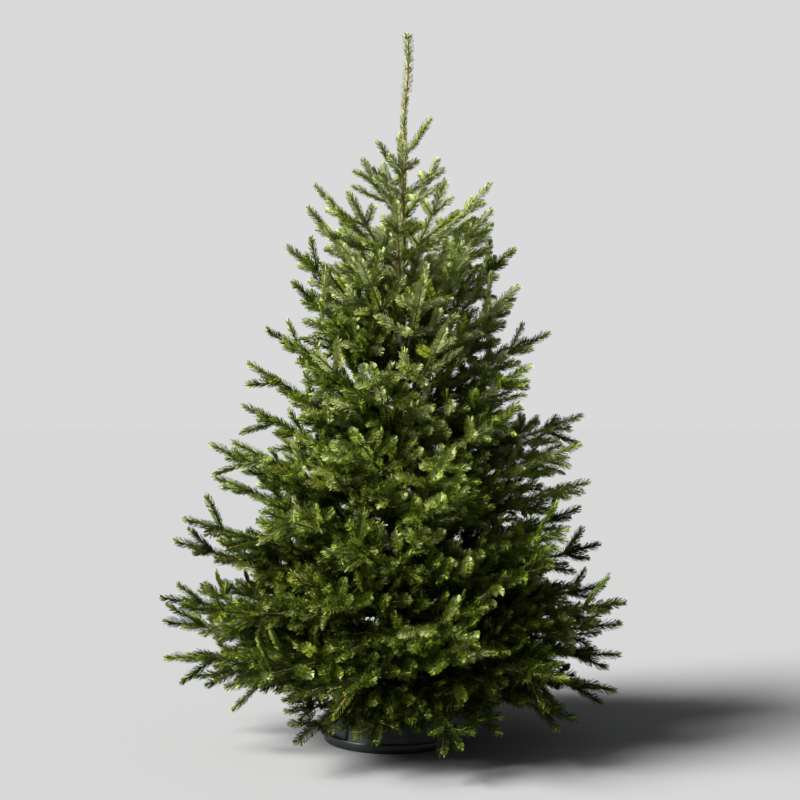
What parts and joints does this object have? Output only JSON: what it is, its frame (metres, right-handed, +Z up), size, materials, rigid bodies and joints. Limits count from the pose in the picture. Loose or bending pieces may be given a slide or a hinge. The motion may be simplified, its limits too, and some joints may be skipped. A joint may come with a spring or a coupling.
{
  "type": "christmas tree",
  "caption": "Cut fir Christmas tree with whorls of needled boughs and a bare leader, clamped by screws in a round plastic stand.",
  "frame": {"origin": "centre of the stand's flat underside, on the floor", "axes": "+Z up along the trunk, -Y towards the viewer of the picture, +X to that viewer's right"},
  "size_m": [1.3949, 1.3484, 2.1],
  "materials": {
    "bark": "rough bark",
    "needles": "waxy needles in sprays",
    "stand": "satin moulded",
    "steel": "bright zinc"
  },
  "bodies": {
    "root": {"trunk": "bark", "stand": "stand", "clamp_screw_1": "steel", "clamp_screw_2": "steel", "clamp_screw_3": "steel", "top_foliage_1": "needles", "top_foliage_2": "needles", "top_foliage_3": "needles", "whorl_1_bough_1": "bark", "whorl_1_bough_2": "bark", "whorl_1_bough_3": "bark", "whorl_1_bough_4": "bark", "whorl_1_bough_5": "bark", "whorl_1_foliage_1": "needles", "whorl_1_foliage_2": "needles", "whorl_1_foliage_3": "needles", "whorl_1_foliage_4": "needles", "whorl_1_foliage_5": "needles", "whorl_2_foliage_1": "needles", "whorl_2_foliage_2": "needles", "whorl_2_foliage_3": "needles", "whorl_2_foliage_4": "needles", "whorl_2_foliage_5": "needles", "whorl_3_foliage_1": "needles", "whorl_3_foliage_2": "needles", "whorl_3_foliage_3": "needles", "whorl_3_foliage_4": "needles", "whorl_3_foliage_5": "needles", "whorl_4_foliage_1": "needles", "whorl_4_foliage_2": "needles", "whorl_4_foliage_3": "needles", "whorl_4_foliage_4": "needles", "whorl_4_foliage_5": "needles", "whorl_5_foliage_1": "needles", "whorl_5_foliage_2": "needles", "whorl_5_foliage_3": "needles", "whorl_5_foliage_4": "needles", "whorl_5_foliage_5": "needles", "whorl_6_foliage_1": "needles", "whorl_6_foliage_2": "needles", "whorl_6_foliage_3": "needles", "whorl_6_foliage_4": "needles", "whorl_6_foliage_5": "needles", "whorl_7_foliage_1": "needles", "whorl_7_foliage_2": "needles", "whorl_7_foliage_3": "needles", "whorl_7_foliage_4": "needles", "whorl_7_foliage_5": "needles", "lowest_bough_1": "bark", "lowest_bough_2": "bark", "lowest_bough_3": "bark", "lowest_bough_4": "bark", "lowest_bough_5": "bark", "lowest_foliage_1": "needles", "lowest_foliage_2": "needles", "lowest_foliage_3": "needles", "lowest_foliage_4": "needles", "lowest_foliage_5": "needles", "lowest_bough_6": "bark", "lowest_foliage_6": "needles"}
  },
  "joints": []
}
